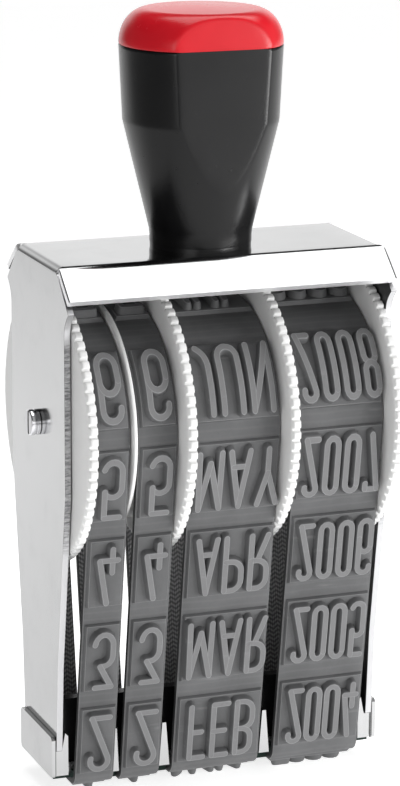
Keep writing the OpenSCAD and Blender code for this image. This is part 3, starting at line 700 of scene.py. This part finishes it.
def makeBand(node):
    b = bandSizes
    x0, w, kind, roll = bandPlaces[node]
    x1 = x0 + w
    shape = Shape()
    s = np.concatenate([[path.marks[0]], path.samples(path.marks[0], path.marks[-1])])
    # belt: a rectangle with rounded corners carried round the path
    q = b["beltRound"]
    corner = np.array([[q - q * math.cos(a), q - q * math.sin(a)] for a in (0, math.pi / 4, math.pi / 2)])
    t = b["beltT"]
    across = np.linspace(x0 + q, x1 - q, 9)[1:-1]
    section = np.concatenate([corner * [1, -1] + [x0, t],
                              np.stack([across, np.full(len(across), t)], 1),
                              (corner * [-1, -1] + [x1, t])[::-1],
                              corner * [-1, 1] + [x1, 0],
                              np.stack([across[::-1], np.zeros(len(across))], 1),
                              (corner * [1, 1] + [x0, 0])[::-1]])
    S, X = np.meshgrid(s, section[:, 0], indexing="ij")
    H = np.broadcast_to(section[:, 1], S.shape)
    half = len(section) // 2
    # belt lifts: painted shade on the sides (0), painted highlight lines at the corners (0.2)
    paintedShading = np.full(len(section), 0.1)
    paintedShading[[1, half - 2]] = 0.2
    paintedShading[[0, half - 1, half, -1]] = 0
    slots = (np.arange(len(section)) >= half + 2) & (np.arange(len(section)) < len(section) - 3)
    shape.grid(path.at(S, X, H), True, True, slot=slots.astype(int)[None, :], uv=np.stack([S, X], -1),
               lift=paintedShading)
    padTop = t + b["padH"]
    for k in range(b["positions"]):
        middle = path.rowAt(k) + roll
        padSheet(shape, middle - b["padLen"] / 2, middle + b["padLen"] / 2, x0 + b["padMargin"],
                 x1 - b["padMargin"], t - b["padSink"], padTop, b["padSlope"])
        if k >= len(bandRows[kind]):
            continue
        for i, line in enumerate(rowStrokes(bandRows[kind][k], kind, k)):
            # strokes that cross differ a hair in height, so that no two faces lie in one plane
            heights = dict(foot=padTop - b["typeSink"], top=b["faceH"] - b["faceSink"] - b["stagger"] * (i % 5))
            flat, high, lift = ridge(line, heights)
            lay = path.at(middle - flat[..., 1], (x0 + x1) / 2 + flat[..., 0], high)
            shape.grid(lay, False, True, uv=flat, lift=lift)
    piece = shape.build(node + "_type", [rubber, woven], b["merge"], False, b["smoothAngle"])
    return seat(piece, "frame", "grey_rubber", node)


for node in bandPlaces:
    makeBand(node)
print("bands made")


# thumb wheels: a profile of (x, r) turned about the axle, with teeth pressed into the outermost part
wheelSizes = dict(tipR=31.29, toothDepth=0.75, rootDrop=0.1, teeth=80, perTooth=10, toothShift=0.85,
                  toothSpread=0.7, rimRows=(3.4, 2.2), drumR=23.0, drumWall=1.8, drumEdge=0.3, smallEdge=0.2,
                  webR=12, hubR=5.0, bore=2.55, axleZ=84.8, flangeR=26.4, spacerR=4.9, spacerT=0.8,
                  merge=0.0004, smoothAngle=32)
# a rim's edges as pairs of inset and drop, soft on the left and crisp on the right; its foot as inset and rise
rimEdges = dict(soft=[(0, 1.2), (0.06, 0.95), (0.2, 0.45), (0.38, 0.1), (0.55, 0)],
                crisp=[(0, 1.2), (0, 0.95), (0, 0.5), (0.04, 0.12), (0.2, 0)],
                foot=[(0, 1.2), (0.12, 0.3), (0.5, 0)])
# the first wheel's thin dividing flange: along the axle, with the rise off the drum or the drop at the edge
flangeEdges = dict(foot=[(-25.2, 0), (-24.95, 0.15), (-24.9, 0.5)],
                   edge=[(-24.9, 0.35), (-24.8, 0.1), (-24.6, 0), (-24.3, 0), (-24.1, 0.1), (-24.0, 0.35)])
# rim start and end, drum far end, hub far end
wheelPlaces = {"wheel_tens": (-36.6, -34.6, -24.0, -25.1), "wheel_units": (-12.0, -14.0, -23.7, -23.7),
               "wheel_month": (12.0, 10.0, -11.7, -10.6), "wheel_year": (36.6, 34.6, 12.3, 13.4)}


def makeWheel(node):
    w = wheelSizes
    outer, inner, drumEnd, hubEnd = wheelPlaces[node]
    way = math.copysign(1, inner - outer)
    tip, dr, hub, web = w["tipR"], w["drumR"], w["hubR"], w["webR"]
    drumIn, edge, small = dr - w["drumWall"], w["drumEdge"], w["smallEdge"]
    soft, crisp = rimEdges["soft"], rimEdges["crisp"]
    near, far = (soft, crisp) if way > 0 else (crisp, soft)
    recess = outer + way * w["spacerT"] if node in ("wheel_tens", "wheel_year") else outer
    prof = [(recess, w["bore"]), (recess, w["spacerR"]), (outer, w["spacerR"]), (outer, web), (outer, dr - 1),
            *[(outer, tip - d) for d in w["rimRows"]], *[(outer + way * i, tip - d) for i, d in near],
            ((outer + inner) / 2, tip), *[(inner - way * i, tip - d) for i, d in reversed(far)],
            *[(inner, tip - d) for d in reversed(w["rimRows"])],
            *[(inner + way * i, dr + d) for i, d in rimEdges["foot"]]]
    if node == "wheel_tens":
        prof += [*[(x, dr + d) for x, d in flangeEdges["foot"]],
                 *[(x, w["flangeR"] - d) for x, d in flangeEdges["edge"]], (drumEnd, drumIn + edge)]
    else:
        prof += [((inner + drumEnd) / 2, dr), (drumEnd - way * edge, dr), (drumEnd, dr - edge)]
    prof += [(drumEnd, drumIn + small), (drumEnd - way * small, drumIn), (inner, drumIn), (inner, web),
             (inner, hub), (hubEnd - way * small, hub), (hubEnd, hub - small), (hubEnd, w["bore"])]
    prof = np.array(prof)
    n = w["teeth"] * w["perTooth"]
    a = np.linspace(0, 2 * math.pi, n, endpoint=False)
    # tooth height: flat tops and round-bottomed grooves, between the root circle and the profile
    wave = np.clip((np.cos(a * w["teeth"]) + w["toothShift"]) / w["toothSpread"], 0, 1)
    tooth = wave * wave * (3 - 2 * wave)
    root = np.minimum(prof[:, 1], tip - w["toothDepth"] - w["rootDrop"])
    R = root[:, None] + (prof[:, 1] - root)[:, None] * tooth[None, :]
    X = np.broadcast_to(prof[:, 0][:, None], R.shape)
    points = np.stack([X, R * np.cos(a), w["axleZ"] + R * np.sin(a)], -1)
    piece = Shape().grid(points, True, True).build(node + "_wheel", [white], w["merge"], way < 0, w["smoothAngle"])
    return seat(piece, node, "white_plastic", node)


for node in wheelPlaces:
    makeWheel(node)
print("wheels made")


# handle: a profile of (r, z) turned about Z, with two flat facets pressed in by a soft limit on y;
# heights are above the top plate, and the facets lean in a little below the seam
gripSizes = dict(topZ=121.9, collarH=1.4, collarIn=0.1, neckH=3.7, neckRow=0.7, creaseDrop=16.7, creaseIn=0.8,
                 creaseRow=0.16, seamH=45.4, seamGap=0.05, seamIn=2, capH=7.8, crownH=0.4, capWall=0.3,
                 capRound=6.2, capSoft=2.5, gripR=18.2, footR=11.4, facetY=14.5, facetFoot=13.6, facetRound=0.22,
                 around=420, merge=0.001)


def turned(prof, g, soft):
    a = np.linspace(0, 2 * math.pi, g["around"], endpoint=False)
    r, z = prof[:, 0][:, None], prof[:, 1][:, None]
    x, y = r * np.cos(a), r * np.sin(a)
    if soft:
        flat = g["facetFoot"] + (g["facetY"] - g["facetFoot"]) * np.clip(z / g["seamH"], 0, 1)
        over = np.abs(y) - flat
        y = np.sign(y) * (flat - 0.5 * (np.sqrt(over ** 2 + soft ** 2) - over))
    return np.stack([x, y, np.broadcast_to(z + g["topZ"], x.shape)], -1)


# one part of the handle, turned and put in the place of its node
def seatTurned(name, prof, soft, finish, slot, node, smoothAngle=40):
    g = gripSizes
    piece = Shape().grid(turned(prof, g, soft), False, True).build(name, [finish], g["merge"], False, smoothAngle)
    return seat(piece, "frame", slot, node)


def makeHandle(g):
    f, top, seam, collar, neck = (g[k] for k in ("footR", "gripR", "seamH", "collarH", "neckH"))
    # straight neck, cone and upper part, with close rows where they meet
    creaseZ, creaseR = seam - g["creaseDrop"], top - g["creaseIn"]
    cone = (creaseR - f) / (creaseZ - neck)
    upper = g["creaseIn"] / g["creaseDrop"]
    nearNeck, nearCrease = g["neckRow"], g["creaseRow"]
    z = np.concatenate([[collar + 0.12, neck - nearNeck], np.linspace(neck + nearNeck, creaseZ - nearCrease, 46),
                        np.linspace(creaseZ + nearCrease, seam - 0.22, 34)])
    r = np.select([z < neck, z < creaseZ], [f + 0 * z, f + cone * (z - neck)], creaseR + upper * (z - creaseZ))
    body = np.concatenate([[[0.0, collar], [f - 0.06, collar], [f - 0.01, collar + 0.05]], np.stack([r, z], 1),
                           [[top - 0.1, seam - 0.06], [top - 0.35, seam], [top - g["seamIn"], seam], [0.0, seam]]])
    seatTurned("grip_body", body, g["facetRound"], blackGrip, "black_plastic", "handle_body")
    # cap: a quarter of an ellipse from the wall to the crown, then a low dome
    a = np.linspace(0, math.pi / 2, 26)
    q, ch, wall = g["capRound"], g["capH"], g["capWall"]
    rim = np.stack([top - q + q * np.cos(a), seam + wall + (ch - wall) * np.sin(a)], 1)
    inner = np.linspace(0.94, 0, 14)
    dome = np.stack([(top - q) * inner, seam + ch + g["crownH"] * (1 - inner ** 2)], 1)
    low = seam + g["seamGap"]
    cap = np.concatenate([[[0.0, low], [top - g["seamIn"], low], [top - 0.3, low], [top - 0.06, seam + 0.14]],
                          rim, dome])
    seatTurned("grip_cap", cap, g["capSoft"] * g["facetRound"], redCap, "red_plastic", "handle_cap")
    # collar: a plain disc with its lower edge cut off
    e = g["collarIn"]
    c = f - e
    ring = np.array([[0.0, 0.0], [c - e, 0], [c, e], [c, collar], [0.0, collar]])
    seatTurned("grip_collar", ring, 0, blackGrip, "black_plastic", "handle_collar", 30)


makeHandle(gripSizes)
print("handle made")


# frame: one folded sheet; t runs up the left plate, over the top and down the right, v across the depth
sheetSizes = dict(thick=1.4, topZ=122.35, plateOut=38.3, bendOut=1.8, seatZ=11.4, topHalf=15.0, flareHalf=22.0,
                  flareDrop=9.05, shoulderH=5.0, waistHalf=19.1, taperZ=72.0, kneeHalf=13.0, kneeZ=31.5,
                  toeHalf=11.6, foldHalf=13.67, lipAngle=40, lipLen=8.4, lipHalf=38.2, lipRound=2.8, lipBend=3.2,
                  columns=13, merge=0.001, smoothAngle=30, edge=0.24, edgeAngle=40)


def makeFrame(f):
    flareZ = f["topZ"] - f["flareDrop"]
    sideTop = f["topZ"] - f["bendOut"]
    # the shoulder's half depth grows from the waist with the square of the height
    grow = np.linspace(0, 1, 6)
    shoulder = np.stack([flareZ + (grow - 1) * f["shoulderH"],
                         f["waistHalf"] + (f["flareHalf"] - f["waistHalf"]) * grow ** 2], 1)
    up = np.array([(f["seatZ"], f["toeHalf"]), (f["kneeZ"], f["kneeHalf"]), (f["taperZ"], f["waistHalf"]),
                   *shoulder, (sideTop, f["topHalf"])])
    a = np.linspace(math.pi, math.pi / 2, 9)[1:]
    c = f["plateOut"] - f["bendOut"]
    bend = np.stack([-c + f["bendOut"] * np.cos(a), sideTop + f["bendOut"] * np.sin(a)], 1)
    left = np.concatenate([np.stack([np.full(len(up), -f["plateOut"]), up[:, 0]], 1), bend])
    across = np.linspace(-c, 0, 7)[1:]
    half = np.concatenate([left, np.stack([across, np.full(len(across), f["topZ"])], 1)])
    run = np.concatenate([half, (half * [-1, 1])[-2::-1]])
    depth = np.concatenate([up[:, 1], np.full(len(half) - len(up), f["foldHalf"])])
    depth = np.concatenate([depth, depth[-2::-1]])
    V = depth[:, None] * np.linspace(-1, 1, f["columns"])
    sheet = np.stack([np.broadcast_to(run[:, :1], V.shape), V, np.broadcast_to(run[:, 1:], V.shape)], -1)
    shape = Shape().grid(sheet)
    # lips: from the top plate's edge round a bend and down a straight slope, their upper corners elliptic
    b = np.radians(np.linspace(90, 90 - f["lipAngle"], 7))
    slope = math.radians(f["lipAngle"])
    curve = np.stack([f["foldHalf"] + f["lipBend"] * np.cos(b), f["topZ"] + f["lipBend"] * (np.sin(b) - 1)], 1)
    tip = curve[-1] + np.linspace(0, f["lipLen"], 4)[1:, None] * [math.cos(slope), -math.sin(slope)]
    lip = np.concatenate([curve, tip])
    left = 1 - np.clip((lip[:, 0] - f["foldHalf"]) / f["lipRound"], 0, 1)
    wide = c + (f["lipHalf"] - c) * np.sqrt(1 - left ** 2)
    n = len(across)
    x = run[len(half) - n - 1:len(half) + n, 0] / c
    for side in (-1, 1):
        X, Y = x[:, None] * wide[None, :], np.broadcast_to(lip[:, 0] * side, (len(x), len(lip)))
        Z = np.broadcast_to(lip[:, 1], X.shape)
        points = np.stack([X, Y, Z], -1)
        shape.grid(points if side > 0 else points[:, ::-1])
    slots = [chrome, cutEdge, paintedShadeInside, edgeLines]
    piece = shape.build("frame_sheet", slots, f["merge"], False, f["smoothAngle"])
    wall = piece.modifiers.new("sheet", "SOLIDIFY")
    wall.thickness, wall.offset, wall.use_even_offset = f["thick"] * mm, -1, True
    wall.material_offset_rim, wall.material_offset = slots.index(cutEdge), slots.index(paintedShadeInside)
    bevel(piece, f["edge"], f["edgeAngle"]).modifiers["edges"].material = slots.index(edgeLines)
    return seat(piece, "frame", "chrome", "frame")


makeFrame(sheetSizes)
print("frame made")


# end screws: a slotted face of strips along the slot, and a profile of (r, h) with a groove turned round it
screwSizes = dict(faceR=2.66, headR=2.9, headH=2.18, slotW=0.8, slotD=0.7, shankR=1.4, shankLen=8.0, axleZ=84.8,
                  seatX=38.4, grooveLow=0.72, grooveHigh=1.0, grooveD=0.3, edge=0.06, dome=0.05, slotWall=0.002,
                  strips=12, steps=25, around=64, merge=0.0012, smoothAngle=35)


def makeScrew(node, side):
    q = screwSizes
    F, R, H, sw = q["faceR"], q["headR"], q["headH"], q["slotW"] / 2
    n, thin, dome, e = q["strips"], q["slotWall"], q["dome"], q["edge"]
    across = np.concatenate([np.linspace(-F, -sw, n), [-sw + thin, sw - thin], np.linspace(sw, F, n)])
    reach = np.sqrt(np.maximum(F ** 2 - across ** 2, 0))
    U = np.sin(np.linspace(-math.pi / 2, math.pi / 2, q["steps"]))[None, :] * reach[:, None]
    V = np.broadcast_to(across[:, None], U.shape)
    up = np.where(np.abs(V) < sw - thin / 2, H - q["slotD"], H - dome * (U ** 2 + V ** 2) / F ** 2)
    wall = np.linspace(0, 2 * math.pi, q["around"], endpoint=False)
    shape = Shape()
    toX = lambda h: side * (q["seatX"] + h)
    shape.grid(np.stack([toX(up), V, q["axleZ"] + U], -1))
    low, high, deep = q["grooveLow"], q["grooveHigh"], R - q["grooveD"]
    shank, end = q["shankR"], -q["shankLen"]
    back = [(F, H - dome), (R - 0.08, H - 0.14), (R, H - 0.3), (R, high + e), (R - e, high), (deep, high),
            (deep, low), (R - e, low), (R, low - e), (R, e), (R - e, 0.0), (shank, 0.0), (shank, end), (0.0, end)]
    r, h = (column[:, None] for column in np.array(back).T)
    Y = r * np.cos(wall)
    shape.grid(np.stack([toX(np.broadcast_to(h, Y.shape)), Y, q["axleZ"] + r * np.sin(wall)], -1)[::-1],
               False, True)
    piece = shape.build(node + "_head", [polished], q["merge"], side < 0, q["smoothAngle"])
    return seat(piece, "frame", "steel", node)


makeScrew("axle_screw_left", -1)
makeScrew("axle_screw_right", 1)
print("screws made")

# the foot's parts are copies of the solids; the hidden fasteners are the solids themselves in steel
seat(cadCopy("foot_bright", "foot_tray", footChrome, 0.22), "frame", "chrome", "foot_tray")
seat(cadCopy("foot_block", "platen_block", blackGrip, 0.35), "frame", "black_plastic", "platen_block")
seat(cadCopy("foot_liner", "platen_liner", liner, 0.12), "frame", "liner", "platen_liner")

for node in ("axle", "spacer_left", "spacer_days", "spacer_middle", "spacer_words", "spacer_right", "handle_bolt",
             "handle_washer", "handle_nut", "block_pin_left", "block_pin_right"):
    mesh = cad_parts[node].data
    mesh.materials.clear()
    mesh.materials.append(steel.material)
print("foot and fasteners finished")


# stage: a pale floor whose glow is painted light, like a light table, with painted shade far to the left and far
# ahead and a painted soft shadow beside the object's left rear; and soft light
stageSizes = dict(floorHalf=3.0, floorDrop=0.02, glow=0.73, dimGlow=0.03, farLean=0.35, besideShade=0.33,
                  aheadShade=0.2, sky=0.42, rearSky=0.75, leftSky=0.10, frontSky=0.8, flagShade=0.93,
                  rightShade=0.6)
# spans over which the floor's shades fade in, in metres, and the sky's, in parts of its direction
floorSpans = dict(far=(0.16, 0.42), besideNear=(0.0, 0.06), besideFar=(0.06, 0.34), besideX=(0.03, 0.06),
                  ahead=(0.3, 0.5))
skySpans = dict(left=(0.05, 0.45), rearY=(0.35, 0.75), rearZ=(0.30, 0.42), rearX=(0.26, 0.36),
                flagLow=(0.33, 0.45), flagHigh=(0.86, 0.92), flagY=(0.0, 0.3), rightX=(0.55, 0.8),
                rightY=(0.1, 0.4), frontY=(0.1, 0.7), frontZ=(0.18, 0.34))
# soft lights: place and aim in metres, width, height and power
softboxes = dict(overheadBox=((0.13, 0.06, 0.5), (0.13, 0.06, 0), 0.44, 0.36, 1.5),
                 leftBox=((-0.45, -0.5, 0.16), (0, 0, 0.08), 0.3, 0.3, 0.45),
                 sideBox=((0.55, -0.5, 0.07), (0, 0, 0.06), 0.5, 0.14, 2.8))


def makeStage(g):
    e = g["floorHalf"] / mm
    u = np.linspace(-e, e, 5)
    X, Y = np.meshgrid(u, u, indexing="ij")
    pale = Finish("paleFloor", Roughness=0.8, Emission_Strength=1.0)
    cloud = pale.noise(3, 3)
    pale.feed("Base Color", pale.mix(cloud, (0.90, 0.90, 0.90), (0.92, 0.92, 0.92)))
    x, y, _ = pale.parts(pale.place)
    s = floorSpans
    # painted shade: the glow dims far to the left and, less, far ahead; a painted soft shadow lies beside the
    # object's left rear
    far = (0 - x - g["farLean"] * y).band(*s["far"])
    bright, dim = (g["glow"],) * 3, (g["dimGlow"],) * 3
    paintedShadowBeside = y.band(*s["besideNear"]) * (1 - y.band(*s["besideFar"])) * (0 - x).band(*s["besideX"])
    ahead = (0 - y).band(*s["ahead"])
    near = pale.mix(g["besideShade"] * paintedShadowBeside + g["aheadShade"] * ahead, bright, (0, 0, 0))
    pale.feed("Emission Color", pale.mix(far, near, dim))
    floor = Shape().grid(np.stack([X, Y, np.full_like(X, -g["floorDrop"])], -1)).build("floor", [pale])
    world = bpy.data.worlds.new("studio")
    bpy.context.scene.world = world
    world.use_nodes = True
    sky = Nodes(world.node_tree, "Background", "Generated")
    sky.shader.inputs["Color"].default_value = (1, 1, 1, 1)
    x, y, z = sky.parts(sky.place)
    s = skySpans
    left = (0 - x).band(*s["left"])
    rear = y.band(*s["rearY"]) * (1 - z.band(*s["rearZ"])) * (1 - (0 - x).band(*s["rearX"]))
    flag = z.band(*s["flagLow"]) * (1 - z.band(*s["flagHigh"])) * y.band(*s["flagY"])
    right = x.band(*s["rightX"]) * y.band(*s["rightY"])
    front = (0 - y).band(*s["frontY"]) * (1 - z.band(*s["frontZ"]))
    even = g["sky"] + g["frontSky"] * front - (g["sky"] - g["leftSky"]) * left
    shade = (1 - g["flagShade"] * flag) * (1 - g["rightShade"] * right)
    sky.feed("Strength", (even + g["rearSky"] * rear) * shade)
    bpy.context.scene.view_settings.view_transform = "Standard"


def softbox(name, place, aim, width, height, power):
    data = bpy.data.lights.new(name, "AREA")
    data.shape, data.size, data.size_y, data.energy = "RECTANGLE", width, height, power
    lamp = bpy.data.objects.new(name, data)
    bpy.context.scene.collection.objects.link(lamp)
    lamp.location = place
    away = np.array(place) - np.array(aim)
    lamp.rotation_mode = "QUATERNION"
    lamp.rotation_quaternion = Vector(away).to_track_quat("Z", "Y")


makeStage(stageSizes)
for name, values in softboxes.items():
    softbox(name, *values)
print("stage made")
